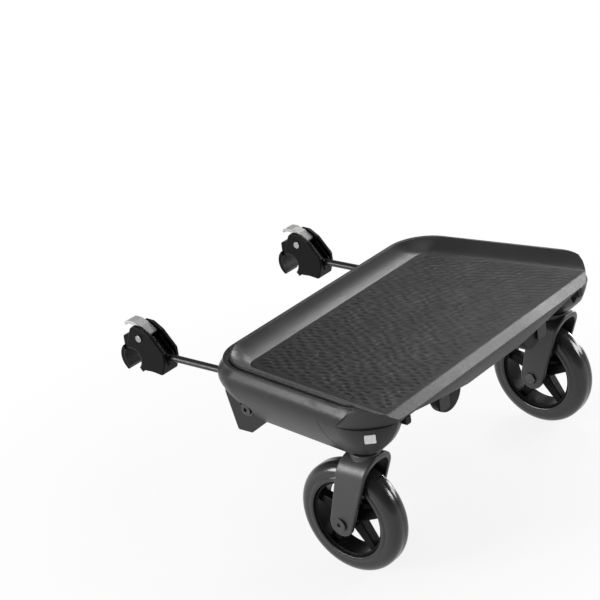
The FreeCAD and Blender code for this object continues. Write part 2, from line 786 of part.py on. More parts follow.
def release_button():
    face = button_face()
    return along_button(face - button_length, face, -button_width / 2, button_width / 2,
                        button_z - button_height / 2, button_z + button_height / 2, button_corner_radius)


def latch_plate():
    middle, out, across = button_frame()
    stem_t, stem_p = stem_in_button_frame()
    inner, outer, centre = latch_ends()
    low_z = button_z - latch_thickness / 2
    high_z = button_z + latch_thickness / 2
    plate = along_button(inner, outer, centre - latch_width / 2, centre + latch_width / 2, low_z, high_z, 0)
    slot_radius = stem_groove_radius + latch_slot_gap
    hole_radius = stem_radius + latch_slot_gap
    rest = middle + out * stem_t + across * stem_p
    free = rest + out * button_stroke
    for spot, radius in ((rest, slot_radius), (free, hole_radius)):
        plate = plate.cut(post(radius, spot.x, spot.y, low_z - overrun, high_z + overrun))
    return plate


def button_spring():
    middle, out, across = button_frame()
    inner, outer, centre = latch_ends()
    height = spring_length - 2 * (spring_wire + body_gap)
    helix = Part.makeHelix(height / spring_turns, height, spring_radius)
    start = V(spring_radius, 0, 0)
    ring = Part.Wire(Part.makeCircle(spring_wire, start, V(0, 1, 0)))
    coil = Part.Wire(helix).makePipeShell([ring], True, True)
    coil.rotate(V(0, 0, 0), V(0, 1, 0), 90)
    coil.rotate(V(0, 0, 0), V(0, 0, 1), button_turn_deg)
    end = middle + out * (inner - spring_length + spring_wire + body_gap) + across * centre
    coil.translate(end + V(0, 0, button_z))
    return coil


def caster_housing(outer):
    inner, outward, centre = latch_ends()
    body = outer.common(housing_bowl(0))
    body = body.cut(block(0, housing_inner_x, deck_rear_y - wall_bulge - overrun, pad_front_y + body_gap,
                          wall_bottom_z - overrun, cap_seam_z + overrun))
    face = button_face()
    half_width = button_width / 2 + button_gap
    half_height = button_height / 2 + button_gap
    body = body.cut(along_button(face - button_length - button_stroke - body_gap, face + overrun,
                                 -half_width, half_width, button_z - half_height, button_z + half_height,
                                 button_corner_radius + button_gap))
    half_plate = latch_width / 2 + latch_room
    slot_half = latch_thickness / 2 + latch_room
    body = body.cut(along_button(inner - button_stroke - latch_room, outward, centre - half_plate,
                                 centre + half_plate, button_z - slot_half, button_z + slot_half, 0))
    spring_room = spring_radius + spring_wire + latch_room
    body = body.cut(along_button(inner - spring_length, inner, centre - spring_room, centre + spring_room,
                                 button_z - spring_room, button_z + spring_room, 0))
    bush_radius = stem_radius + running_gap + bush_wall
    body = body.cut(post(bush_radius + press_gap, swivel_x, swivel_y,
                         wall_bottom_z - overrun, bush_top_z + press_gap))
    body = body.cut(post(stem_radius + socket_room, swivel_x, swivel_y, bush_top_z, stem_top_z + socket_room))
    for x, y in housing_screw_spots:
        head_z = cap_seam_z + seat_plate - housing_screw_length
        body = body.cut(post(housing_screw_radius + press_gap, x, y, wall_bottom_z, cap_seam_z + overrun))
        body = body.cut(post(housing_screw_head_radius + body_gap, x, y, wall_bottom_z - overrun, head_z))
    return body


def stem_bush():
    outside = stem_radius + running_gap + bush_wall
    sleeve = post(outside, swivel_x, swivel_y, flange_low_z, bush_top_z)
    flange = post(bush_flange_radius, swivel_x, swivel_y, flange_low_z, housing_low_z)
    return sleeve.fuse(flange).cut(post(stem_radius + running_gap, swivel_x, swivel_y,
                                        flange_low_z - overrun, bush_top_z + overrun)).removeSplitter()


def housing_screws():
    screws = []
    top_z = cap_seam_z + seat_plate
    low_z = top_z - housing_screw_length
    for x, y in housing_screw_spots:
        shank = post(housing_screw_radius, x, y, low_z, top_z)
        head = post(housing_screw_head_radius, x, y, low_z - housing_screw_head, low_z)
        screw = shank.fuse(head).removeSplitter()
        screws += [screw, mirrored(screw)]
    return Part.makeCompound(screws)


def tray_screws():
    screws = []
    for x, y in tray_screw_spots():
        shank = post(tray_screw_radius, x, y, rib_low_z, tray_underside_z + tray_screw_bite)
        head = post(tray_screw_head_radius, x, y, rib_low_z - tray_screw_head, rib_low_z)
        screws.append(shank.fuse(head).removeSplitter())
    return Part.makeCompound(screws)


def caster_stem():
    stem = post(stem_radius, swivel_x, swivel_y, crown_low_z, stem_top_z)
    low_z = button_z - latch_groove / 2
    ring = post(stem_radius + overrun, swivel_x, swivel_y, low_z, low_z + latch_groove)
    return stem.cut(ring.cut(post(stem_groove_radius, swivel_x, swivel_y, low_z, low_z + latch_groove)))


def caster_fork():
    low_z = wheel_z - fork_end_radius
    arch = [(-fork_outer_half, low_z, 0), (fork_outer_half, low_z, 0),
            (fork_outer_half, crown_top_z, fork_shoulder_radius),
            (-fork_outer_half, crown_top_z, fork_shoulder_radius)]
    room = [(-fork_inner_half, low_z - overrun, 0), (fork_inner_half, low_z - overrun, 0),
            (fork_inner_half, crown_low_z, fork_arch_radius),
            (-fork_inner_half, crown_low_z, fork_arch_radius)]
    rear_y = swivel_y - fork_top_half_depth - overrun
    front_y = fork_end_radius + overrun
    form = prism(rounded_wire, arch, "xz", rear_y, front_y)
    form = form.cut(prism(rounded_wire, room, "xz", rear_y, front_y))
    side = [(0, wheel_z, fork_end_radius),
            (swivel_y, crown_top_z, fork_top_half_depth)]
    profile = prism(hull_wire, side, "yz", -fork_outer_half - overrun, fork_outer_half + overrun)
    fork = form.common(profile).removeSplitter()
    fork = eased(fork, fork_outer_edge, "X", -fork_outer_half, fork_outer_half)
    fork = eased(fork, fork_inner_edge, "X", -fork_inner_half, fork_inner_half)
    fork.translate(V(swivel_x, 0, 0))
    collar = post(collar_radius, swivel_x, swivel_y, crown_low_z, collar_top_z)
    fork = fork.fuse(eased(collar, collar_edge, "Z", collar_top_z))
    fork = fork.cut(post(stem_radius + press_gap, swivel_x, swivel_y,
                         crown_low_z - overrun, collar_top_z + overrun))
    fork = fork.cut(tube_x(axle_bolt_radius + press_gap, swivel_x - fork_outer_half - overrun,
                           swivel_x + fork_outer_half + overrun, 0, wheel_z))
    return fork.removeSplitter()


def hexagon(radius, y, z):
    corners = []
    for turn in range(6):
        angle = math.pi / 3 * turn
        corners.append((y + radius * math.cos(angle), z + radius * math.sin(angle), 0))
    return corners


def socketed(bolt, radius, depth, x, y, z):
    """A bolt with a six-sided socket sunk into the outer face of its head, which stands at x."""
    return bolt.cut(prism(rounded_wire, hexagon(radius, y, z), "yz", x - depth, x + overrun))


def axle_bolt():
    inner_x = swivel_x - fork_outer_half
    outer_x = swivel_x + fork_outer_half
    shank = tube_x(axle_bolt_radius, inner_x - axle_head, outer_x, 0, wheel_z)
    head = tube_x(axle_head_radius, outer_x, outer_x + axle_head, 0, wheel_z)
    return socketed(shank.fuse(head), axle_socket_radius, axle_socket, outer_x + axle_head, 0, wheel_z)


def axle_nut():
    inner_x = swivel_x - fork_outer_half
    low_x = inner_x - axle_head
    nut = prism(rounded_wire, hexagon(axle_head_radius, 0, wheel_z), "yz", low_x, inner_x)
    return nut.cut(tube_x(axle_bolt_radius + press_gap, low_x - overrun, inner_x + overrun, 0, wheel_z))


def axle_spacers():
    rings = []
    for way in (-1, 1):
        near = way * (hub_width / 2 + body_gap)
        far = way * fork_inner_half
        low, high = sorted((swivel_x + near, swivel_x + far))
        ring = tube_x(spacer_radius, low, high, 0, wheel_z)
        hole = tube_x(axle_bolt_radius + press_gap, low - overrun, high + overrun, 0, wheel_z)
        rings.append(ring.cut(hole))
    return Part.makeCompound(rings)


def wheel_hub():
    half = hub_width / 2
    barrel = tube_x(hub_radius, swivel_x - half, swivel_x + half, 0, wheel_z)
    barrel = eased(barrel, hub_edge, "X", swivel_x - half, swivel_x + half)
    rim = tube_x(tyre_seat_radius - press_gap, swivel_x - rim_width / 2, swivel_x + rim_width / 2, 0, wheel_z)
    rim = rim.cut(tube_x(rim_inner_radius, swivel_x - half, swivel_x + half, 0, wheel_z))
    rim = eased(rim, rim_edge, "X", swivel_x - rim_width / 2, swivel_x + rim_width / 2)
    spoke = [(spoke_root, wheel_z, spoke_hub_radius), (rim_inner_radius, wheel_z, spoke_rim_radius)]
    near_x = swivel_x - spoke_thickness / 2
    far_x = swivel_x + spoke_thickness / 2
    spoke = eased(prism(hull_wire, spoke, "yz", near_x, far_x), spoke_edge, "X", near_x, far_x)
    spoke_reach = rim_inner_radius + rim_wall / 2
    spoke = spoke.common(tube_x(spoke_reach, near_x - overrun, far_x + overrun, 0, wheel_z))
    centre = V(swivel_x, 0, wheel_z)
    spokes = []
    for index in range(spoke_count):
        turned = spoke.copy()
        turned.rotate(centre, V(1, 0, 0), 90 + 360 * index / spoke_count)
        spokes.append(turned)
    hub = barrel.multiFuse([rim] + spokes)
    hub = hub.cut(tube_x(axle_bolt_radius + body_gap, swivel_x - half - overrun,
                         swivel_x + half + overrun, 0, wheel_z))
    for way in (-1, 1):
        low, high = sorted((swivel_x + way * (half - bearing_width), swivel_x + way * (half + overrun)))
        hub = hub.cut(tube_x(bearing_radius, low, high, 0, wheel_z))
    return hub.removeSplitter()


def tyre():
    half = wheel_width / 2
    seat_z = wheel_z + tyre_seat_radius
    tread_z = wheel_z + wheel_radius
    outline = [(-half, seat_z, tyre_bead_radius), (half, seat_z, tyre_bead_radius),
               (half, tread_z, tyre_shoulder_radius), (-half, tread_z, tyre_shoulder_radius)]
    face = Part.Face(rounded_wire(outline, lambda u, v: V(swivel_x + u, 0, v)))
    return face.revolve(V(swivel_x, 0, wheel_z), V(1, 0, 0), 360)


def wheel_bearings():
    rings = []
    for way in (-1, 1):
        low, high = sorted((swivel_x + way * (hub_width / 2 - bearing_width), swivel_x + way * hub_width / 2))
        ring = tube_x(bearing_radius - press_gap, low, high, 0, wheel_z)
        hole = tube_x(axle_bolt_radius + running_gap, low - overrun, high + overrun, 0, wheel_z)
        rings.append(ring.cut(hole))
    return Part.makeCompound(rings)


def pivot_shaft():
    shaft = tube_x(shaft_radius, -tab_outer_x, tab_outer_x, pivot_y, pivot_z)
    end = tube_x(shaft_screw_radius + press_gap, tab_outer_x - shaft_screw_bite - press_gap,
                 tab_outer_x + overrun, pivot_y, pivot_z)
    return shaft.cut(end).cut(mirrored(end))


def shaft_screw():
    head_x = tab_outer_x + shaft_washer
    face_x = head_x + shaft_screw_head
    shank = tube_x(shaft_screw_radius, tab_outer_x - shaft_screw_bite, head_x, pivot_y, pivot_z)
    head = tube_x(shaft_screw_head_radius, head_x, face_x, pivot_y, pivot_z)
    screw = shank.fuse(head)
    return socketed(screw, shaft_screw_socket_radius, shaft_screw_socket, face_x, pivot_y, pivot_z)


def shaft_washer_ring():
    ring = tube_x(shaft_washer_radius, tab_outer_x, tab_outer_x + shaft_washer, pivot_y, pivot_z)
    return ring.cut(tube_x(shaft_screw_radius + press_gap, tab_outer_x - overrun, tab_outer_x + overrun,
                           pivot_y, pivot_z))


def rear_bumper():
    disc = Part.makeCylinder(bumper_radius, bumper_depth, V(bumper_x, bumper_front_y, bumper_z), V(0, -1, 0))
    reach = bumper_radius + overrun
    disc = eased(disc, bumper_edge, "Y", bumper_front_y - bumper_depth, bumper_front_y)
    return disc.cut(block(bumper_x - reach, bumper_x + reach, bumper_front_y - bumper_depth - overrun,
                          bumper_front_y + overrun, bumper_z, bumper_z + reach))


def corner_pad():
    low_x = pad_x - pad_half_width
    high_x = pad_x + pad_half_width
    low_z = cap_seam_z - pad_height
    outline = [(low_x, low_z, pad_corner), (high_x, low_z, pad_corner),
               (high_x, cap_seam_z, 0), (low_x, cap_seam_z, 0)]
    return prism(rounded_wire, outline, "xz", pad_rear_y, pad_front_y)


def arm_knuckle():
    outline = [(pivot_y, pivot_z, knuckle_pivot_radius), (knuckle_rod_y, rod_z, knuckle_rod_radius)]
    near_x = arm_x - knuckle_width / 2
    far_x = arm_x + knuckle_width / 2
    eye = eased(prism(hull_wire, outline, "yz", near_x, far_x), knuckle_edge, "X", near_x, far_x)
    eye = eye.cut(tube_x(shaft_radius + running_gap, arm_x - knuckle_width, arm_x + knuckle_width,
                         pivot_y, pivot_z))
    return eye.cut(Part.makeCylinder(rod_radius + press_gap, knuckle_rod_y,
                                     V(arm_x, rod_rear_y, rod_z), V(0, 1, 0)))


def arm_rod():
    return Part.makeCylinder(rod_radius, rod_front_y - rod_rear_y, V(arm_x, rod_rear_y, rod_z), V(0, 1, 0))


def clamp_body():
    left_x = arm_x - clamp_half_width
    right_x = arm_x + clamp_half_width
    cheeks = prism(rounded_wire, all_rounded(cheek_outline, cheek_corner_radius), "yz", left_x, right_x)
    body = eased(cheeks, clamp_edge, "X", left_x, right_x)
    body = body.fuse(sector(axle_radius, saddle_outer_radius, saddle_start_deg, saddle_end_deg,
                            left_x, right_x))
    body = body.cut(tube_x(axle_bore_radius, left_x - overrun, right_x + overrun, axle_y, axle_z))
    body = body.cut(prism(rounded_wire, all_rounded(throat_outline, 0), "yz",
                          arm_x - clamp_gap_half_width, arm_x + clamp_gap_half_width))
    fins = cheeks.copy()
    fins.translate(V(0, 0, -clamp_rib_drop))
    fins = fins.cut(block(left_x - overrun, right_x + overrun, clamp_rib_front_y, front_reach_y + overrun,
                          clamp_low_z, clamp_high_z))
    fins = fins.cut(block(left_x - overrun, right_x + overrun, deck_front_y, front_reach_y + overrun,
                          clamp_low_z, clamp_rib_low_z))
    for x in (arm_x - clamp_rib_x, arm_x + clamp_rib_x):
        body = body.fuse(fins.common(block(x - clamp_rib_thickness / 2, x + clamp_rib_thickness / 2,
                                           deck_front_y, clamp_rib_front_y, clamp_rib_low_z, clamp_high_z)))
    body = body.cut(tube_x(clamp_pin_radius + press_gap, left_x - overrun, right_x + overrun,
                           clamp_pin_y, clamp_pin_z))
    body = body.cut(Part.makeCylinder(rod_radius + press_gap, rod_front_y + press_gap - deck_front_y,
                                      V(arm_x, deck_front_y, rod_z), V(0, 1, 0)))
    return body.removeSplitter()


def saddle_pad():
    return sector(axle_radius, axle_bore_radius, saddle_start_deg, saddle_end_deg,
                  arm_x - clamp_half_width, arm_x + clamp_half_width)


def clamp_pin():
    left_x = arm_x - clamp_half_width
    right_x = arm_x + clamp_half_width
    pin = tube_x(clamp_pin_radius, left_x, right_x, clamp_pin_y, clamp_pin_z)
    heads = [tube_x(clamp_pin_head_radius, left_x - clamp_pin_head, left_x, clamp_pin_y, clamp_pin_z),
             tube_x(clamp_pin_head_radius, right_x, right_x + clamp_pin_head, clamp_pin_y, clamp_pin_z)]
    return pin.fuse(heads).removeSplitter()


def clamp_jaw():
    hook = sector(axle_bore_radius, jaw_outer_radius, jaw_end_deg, jaw_start_deg,
                  arm_x - jaw_half_width, arm_x + jaw_half_width)
    strap = [(clamp_pin_y, clamp_pin_z, jaw_knuckle_radius), (jaw_arm_y, jaw_arm_z, jaw_arm_radius)]
    start = math.radians(jaw_start_deg)
    middle_radius = (axle_bore_radius + jaw_outer_radius) / 2
    root = (axle_y + middle_radius * math.cos(start), axle_z + middle_radius * math.sin(start), jaw_wall / 2)
    neck = [root, (jaw_arm_y, jaw_arm_z, jaw_arm_radius)]
    jaw = hook
    for low, high in ((-jaw_arm_half_width, -jaw_arm_inner), (jaw_arm_inner, jaw_arm_half_width)):
        jaw = jaw.fuse(prism(hull_wire, strap, "yz", arm_x + low, arm_x + high))
    jaw = jaw.fuse(prism(hull_wire, neck, "yz", arm_x - jaw_arm_half_width, arm_x + jaw_arm_half_width))
    jaw = eased(jaw.removeSplitter(), jaw_edge, "X", arm_x - jaw_half_width, arm_x + jaw_half_width)
    return jaw.cut(tube_x(clamp_pin_radius + running_gap, arm_x - jaw_half_width, arm_x + jaw_half_width,
                          clamp_pin_y, clamp_pin_z)).removeSplitter()


def jaw_pad():
    return sector(axle_radius, axle_bore_radius, jaw_end_deg, jaw_start_deg,
                  arm_x - jaw_half_width, arm_x + jaw_half_width)


def clamp_lever():
    under = [(y, z - lever_thickness) for y, z in reversed(lever_top)]
    outline = all_rounded(list(lever_top) + under, lever_thickness / 3)
    near_x = arm_x - lever_half_width
    far_x = arm_x + lever_half_width
    paddle = eased(prism(rounded_wire, outline, "yz", near_x, far_x), lever_edge, "X", near_x, far_x)
    neck_y = clamp_pin_y + lever_hub_radius
    neck_z = clamp_pin_z + 2 * lever_hub_radius
    hub = [(clamp_pin_y, clamp_pin_z, lever_hub_radius), (neck_y, neck_z, lever_thickness / 3)]
    hub = prism(hull_wire, hub, "yz", arm_x - lever_hub_half_width, arm_x + lever_hub_half_width)
    return paddle.fuse(hub).cut(tube_x(clamp_pin_radius + running_gap, arm_x - clamp_half_width,
                                       arm_x + clamp_half_width, clamp_pin_y, clamp_pin_z)).removeSplitter()


outer_form = wall_loft(0, 0)
inner_form = wall_loft(wall_thickness, overrun)

pieces = {
    "deck_base": deck_base(outer_form, inner_form),
    "deck_tray": deck_tray(outer_form),
    "grip_mat": grip_mat(),
    "pivot_shaft": pivot_shaft(),
    "shaft_screws": both_sides(shaft_screw()),
    "shaft_washers": both_sides(shaft_washer_ring()),
    "rear_bumpers": both_sides(rear_bumper()),
    "corner_pads": both_sides(corner_pad()),
    "tray_screws": tray_screws(),
    "housing_screws": housing_screws(),
}
right_pieces = {
    "caster_housing": caster_housing(outer_form),
    "stem_bush": stem_bush(),
    "button_spring": button_spring(),
    "release_button": release_button(),
    "latch_plate": latch_plate(),
    "caster_fork": caster_fork(),
    "caster_stem": caster_stem(),
    "axle_bolt": axle_bolt(),
    "axle_nut": axle_nut(),
    "axle_spacers": axle_spacers(),
    "wheel_hub": wheel_hub(),
    "tyre": tyre(),
    "wheel_bearings": wheel_bearings(),
    "arm_knuckle": arm_knuckle(),
    "arm_rod": arm_rod(),
    "clamp_body": clamp_body(),
    "saddle_pad": saddle_pad(),
    "clamp_pin": clamp_pin(),
    "clamp_jaw": clamp_jaw(),
    "jaw_pad": jaw_pad(),
    "clamp_lever": clamp_lever(),
}
for name, shape in right_pieces.items():
    pieces["right_" + name] = shape
    pieces["left_" + name] = mirrored(shape)

os.makedirs("parts", exist_ok=True)
for name, shape in pieces.items():
    shape.translate(V(0, -origin_y, 0))
    shape.exportStep("parts/" + name + ".step")
    print(name, "valid", shape.isValid(), "solids", len(shape.Solids))
print("moved back along Y by", origin_y)
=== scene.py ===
import json
import math

import bmesh
import bpy
from mathutils import Matrix, Vector, noise


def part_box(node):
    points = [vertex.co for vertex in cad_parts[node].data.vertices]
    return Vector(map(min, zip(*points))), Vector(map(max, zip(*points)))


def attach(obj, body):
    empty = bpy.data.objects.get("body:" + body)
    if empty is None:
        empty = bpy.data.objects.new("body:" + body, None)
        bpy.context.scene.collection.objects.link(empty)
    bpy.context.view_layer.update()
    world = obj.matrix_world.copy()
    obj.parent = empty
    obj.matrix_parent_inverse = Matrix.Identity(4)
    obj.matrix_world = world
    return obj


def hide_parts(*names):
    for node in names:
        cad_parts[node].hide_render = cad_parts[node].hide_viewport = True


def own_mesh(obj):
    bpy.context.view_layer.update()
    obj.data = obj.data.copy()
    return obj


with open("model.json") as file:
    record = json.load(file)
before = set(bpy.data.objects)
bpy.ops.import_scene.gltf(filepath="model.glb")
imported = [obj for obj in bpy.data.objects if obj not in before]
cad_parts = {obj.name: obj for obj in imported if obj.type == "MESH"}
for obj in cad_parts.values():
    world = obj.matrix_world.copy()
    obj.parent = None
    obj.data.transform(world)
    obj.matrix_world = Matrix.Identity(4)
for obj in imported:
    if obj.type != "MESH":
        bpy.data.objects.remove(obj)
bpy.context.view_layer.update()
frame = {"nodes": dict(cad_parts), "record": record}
nodes = frame["nodes"]
scene = bpy.context.scene
scene.view_settings.view_transform = "Standard"

SIDES = ("left", "right")
BLACK = (0.0, 0.0, 0.0)
WHITE = (1.0, 1.0, 1.0)


# Shader nodes

def add_node(tree, kind, **settings):
    node = tree.nodes.new(kind)
    for key, value in settings.items():
        setattr(node, key, value)
    return node


def map_range(tree, source, low, high, start, end, curve="LINEAR"):
    """Maps start..end of the source to low..high."""
    node = add_node(tree, "ShaderNodeMapRange", interpolation_type=curve)
    ends = {"From Min": start, "From Max": end, "To Min": low, "To Max": high}
    for key, value in ends.items():
        node.inputs[key].default_value = value
    tree.links.new(source, node.inputs["Value"])
    return node.outputs["Result"]


def combine(tree, operation, first, second):
    node = add_node(tree, "ShaderNodeMath", operation=operation)
    tree.links.new(first, node.inputs[0])
    tree.links.new(second, node.inputs[1])
    return node.outputs["Value"]


class Shader:
    """A principled material and short ways to wire its nodes."""

    def __init__(self, name):
        self.material = bpy.data.materials.new(name)
        self.material.use_nodes = True
        self.tree = self.material.node_tree
        self.out = self.tree.nodes["Principled BSDF"]
        self.where = self.add("ShaderNodeTexCoord").outputs["Object"]

    def add(self, kind, **settings):
        return add_node(self.tree, kind, **settings)

    def feed(self, source, target):
        self.tree.links.new(source, target)

    def wire(self, **sources):
        for key, source in sources.items():
            self.feed(source, self.out.inputs[key.replace("_", " ")])

    def constant(self, **values):
        for key, value in values.items():
            self.out.inputs[key.replace("_", " ")].default_value = value

    def noise(self, scale, detail, rough=0.5, where=None):
        node = self.add("ShaderNodeTexNoise")
        node.inputs["Scale"].default_value = scale
        node.inputs["Detail"].default_value = detail
        node.inputs["Roughness"].default_value = rough
        self.feed(where or self.where, node.inputs["Vector"])
        return node.outputs["Fac"]

    def stretched(self, scales):
        node = self.add("ShaderNodeMapping")
        node.inputs["Scale"].default_value = scales
        self.feed(self.where, node.inputs["Vector"])
        return node.outputs["Vector"]

    def two_tone(self, source, first, second):
        """A colour ramp between two stops, each (position, colour)."""
        node = self.add("ShaderNodeValToRGB")
        for element, (position, colour) in zip(node.color_ramp.elements, (first, second)):
            element.position = position
            element.color = (*colour, 1)
        self.feed(source, node.inputs["Fac"])
        return node.outputs["Color"]

    def span(self, source, low, high, start, end):
        return map_range(self.tree, source, low, high, start, end)

    def mix(self, factor, first, second):
        """Mixes two colours; each argument is a socket or a constant."""
        node = self.add("ShaderNodeMix", data_type="RGBA")
        # The node lists its sockets by type: 0 is the factor, 6 and 7 the colours, output 2 the result
        for index, value in ((0, factor), (6, first), (7, second)):
            socket = node.inputs[index]
            if isinstance(value, bpy.types.NodeSocket):
                self.feed(value, socket)
            elif isinstance(value, tuple):
                socket.default_value = (*value, 1)
            else:
                socket.default_value = value
        return node.outputs[2]

    def edge(self, radius):
        """A rounded normal at sharp edges, and a mask that is 1 on them."""
        soft = self.add("ShaderNodeBevel", samples=4)
        soft.inputs["Radius"].default_value = radius
        flat = self.add("ShaderNodeNewGeometry")
        dot = self.add("ShaderNodeVectorMath", operation="DOT_PRODUCT")
        self.feed(soft.outputs["Normal"], dot.inputs[0])
        self.feed(flat.outputs["Normal"], dot.inputs[1])
        mask = self.span(dot.outputs["Value"], low=1.0, high=0.0, start=0.8, end=0.995)
        return soft.outputs["Normal"], mask

    def relief(self, normal, *layers):
        """Stacks bumps on a normal: (height, depth in metres, strength)."""
        for height, depth, strength in layers:
            bump = self.add("ShaderNodeBump")
            bump.inputs["Strength"].default_value = strength
            bump.inputs["Distance"].default_value = depth
            self.feed(height, bump.inputs["Height"])
            self.feed(normal, bump.inputs["Normal"])
            normal = bump.outputs["Normal"]
        self.wire(Normal=normal)


# Materials

def tint(colour, factor):
    return tuple(min(1.0, channel * factor) for channel in colour)


def moulded(name, colour, rough, grain=1500.0, depth=0.00012, radius=0.0007, wear=1.7, specular=0.5):
    """Moulded plastic: fine spark-eroded grain, faint flow clouds and paler rubbed edges."""
    s = Shader(name)
    normal, edges = s.edge(radius)
    clouds = s.noise(scale=9.0, detail=4.0, rough=0.6)
    grains = s.noise(scale=grain, detail=3.0, rough=0.65)
    specks = s.noise(scale=grain * 0.23, detail=2.0)
    patches = s.noise(scale=120.0, detail=3.0)
    base = s.two_tone(clouds, (0.3, tint(colour, 0.88)), (0.7, tint(colour, 1.1)))
    speckled = s.span(specks, low=0.0, high=0.22, start=0.35, end=0.75)
    base = s.mix(speckled, base, tint(colour, 1.45))
    worn = s.mix(s.span(patches, low=0.25, high=1.0, start=0.35, end=0.65), BLACK, WHITE)
    rubbed = s.mix(edges, BLACK, worn)
    uneven = s.mix(0.5, clouds, specks)
    s.wire(Base_Color=s.mix(rubbed, base, tint(colour, wear)),
           Roughness=s.span(uneven, low=rough - 0.06, high=rough + 0.08, start=0.3, end=0.7))
    s.constant(Specular_IOR_Level=specular)
    s.relief(normal, (grains, depth, 0.35), (specks, depth * 2.0, 0.16))
    return s.material


def rubber(name, colour, rough, grain=700.0, depth=0.0002, specular=0.4):
    """Soft rubber: dusty patches, a leathery skin and a broad dull sheen."""
    s = Shader(name)
    normal, edges = s.edge(radius=0.0009)
    dust = s.noise(scale=26.0, detail=5.0, rough=0.62)
    skin = s.noise(scale=grain, detail=4.0, rough=0.6)
    base = s.two_tone(dust, (0.32, tint(colour, 0.85)), (0.72, tint(colour, 1.25)))
    s.wire(Base_Color=s.mix(edges, base, tint(colour, 1.6)),
           Roughness=s.span(dust, low=rough + 0.06, high=rough - 0.06, start=0.3, end=0.7))
    s.constant(Specular_IOR_Level=specular)
    s.relief(normal, (skin, depth, 0.3))
    return s.material


def plated(name, colour, rough):
    """Zinc-plated steel: fine turning lines, cloudy tarnish and bright edges."""
    s = Shader(name)
    normal, edges = s.edge(radius=0.0004)
    lines = s.noise(scale=1.0, detail=3.0, rough=0.7, where=s.stretched((60.0, 900.0, 900.0)))
    stain = s.noise(scale=70.0, detail=4.0, rough=0.6)
    base = s.two_tone(stain, (0.3, tint(colour, 0.7)), (0.7, tint(colour, 1.1)))
    s.wire(Base_Color=s.mix(edges, base, tint(colour, 1.35)),
           Roughness=s.span(stain, low=rough + 0.1, high=rough - 0.06, start=0.3, end=0.7))
    s.constant(Metallic=1.0)
    s.relief(normal, (lines, 0.00006, 0.25))
    return s.material


def coated(name, colour, rough):
    """Powder-coated steel: a thin clear sheen over an orange-peel skin, and paler edges."""
    s = Shader(name)
    normal, edges = s.edge(radius=0.0005)
    peel = s.noise(scale=420.0, detail=2.0, rough=0.45)
    haze = s.noise(scale=18.0, detail=4.0, rough=0.55)
    base = s.two_tone(haze, (0.3, tint(colour, 0.85)), (0.7, tint(colour, 1.2)))
    s.wire(Base_Color=s.mix(edges, base, tint(colour, 2.0)),
           Roughness=s.span(haze, low=rough - 0.04, high=rough + 0.08, start=0.3, end=0.7))
    s.constant(Specular_IOR_Level=0.3, Coat_Weight=0.08, Coat_Roughness=0.2)
    s.relief(normal, (peel, 0.00012, 0.25))
    return s.material


finishes = {
    "shell_plastic": moulded("shell_plastic", (0.014, 0.0138, 0.0136), rough=0.30,
                             depth=0.00004, specular=0.25),
    "tray_plastic": moulded("tray_plastic", (0.018, 0.0177, 0.0174), rough=0.35,
                            depth=0.00004, specular=0.45),
    "black_plastic": moulded("black_plastic", (0.0045, 0.0045, 0.0045), rough=0.34,
                             grain=1100.0, specular=0.07),
    "grey_plastic": moulded("grey_plastic", (0.56, 0.56, 0.55), rough=0.40,
                            depth=0.00003, radius=0.0003, wear=1.0),
    "mat_rubber": rubber("mat_rubber", (0.0155, 0.0155, 0.0152), rough=0.46,
                         grain=900.0, specular=0.15),
    "black_rubber": rubber("black_rubber", (0.007, 0.007, 0.007), rough=0.60, specular=0.20),
    "tyre": rubber("tyre", (0.014, 0.014, 0.014), rough=0.18,
                   grain=420.0, depth=0.00001, specular=0.5),
    "steel": plated("steel", (0.36, 0.36, 0.37), rough=0.30),
    "black_steel": coated("black_steel", (0.010, 0.010, 0.011), rough=0.34),
}

# Within a slot, the forks are a paler moulding, the levers a deeper grey that is painted shade, standing
# in for less light on them, and the bolts a duller plating
fork_plastic = moulded("fork_plastic", (0.029, 0.0286, 0.0282), rough=0.38, depth=0.00006, specular=0.40)
# Painted shade: the buttons' grey plastic made darker on the levers, in place of less light falling on
# them
lever_painted_shade_plastic = moulded("lever_painted_shade_plastic", (0.33, 0.33, 0.325), rough=0.42,
                        depth=0.00002, radius=0.0003, wear=1.0)
dull_steel = plated("dull_steel", (0.09, 0.09, 0.092), rough=0.32)
own_finishes = {"shaft_screws": dull_steel, "shaft_washers": dull_steel}
for side in SIDES:
    own_finishes[f"{side}_caster_fork"] = fork_plastic
    own_finishes[f"{side}_clamp_lever"] = lever_painted_shade_plastic
    own_finishes[f"{side}_axle_bolt"] = dull_steel
    own_finishes[f"{side}_axle_nut"] = dull_steel


def finish_with(obj, finish):
    obj.data.materials.clear()
    obj.data.materials.append(finish)


for part in frame["record"]["subparts"]:
    finish_with(nodes[part["node"]], own_finishes.get(part["node"], finishes[part["material_slot"]]))


# Pieces built here

def piece(name, bm, slot, body, stands_for, smooth_deg=35.0):
    """Makes an object of a bmesh, gives it a finish and hangs it on a body of the frame."""
    mesh = bpy.data.meshes.new(name)
    bmesh.ops.recalc_face_normals(bm, faces=bm.faces)
    bm.to_mesh(mesh)
    bm.free()
    obj = bpy.data.objects.new(name, mesh)
    scene.collection.objects.link(obj)
    mesh.shade_smooth()
    mesh.set_sharp_from_angle(angle=math.radians(smooth_deg))
    finish_with(obj, finishes[slot])
    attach(obj, body)
    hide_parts(*stands_for)
    return obj


# The mat's ripples: rows of short dashes, in metres and radians
ripple_turn = math.radians(-70.0)
row_pitch = 0.0076
dash_length = 0.0135
sway_height = 0.0010
sway_length = 0.019
sway_slant = 140.0
drift_height = 0.0024
drift_scale = 38.0
lane_step = 0.73
lane_scatter = 0.35
break_depth = 1.5
break_scale = 45.0
crest_power = 1.2
dash_floor = 0.08

# Slices of the noise field, a different one for each use
drift_slice = 0.3
lane_slice = (1.7, 0.2)
break_slice = 4.1


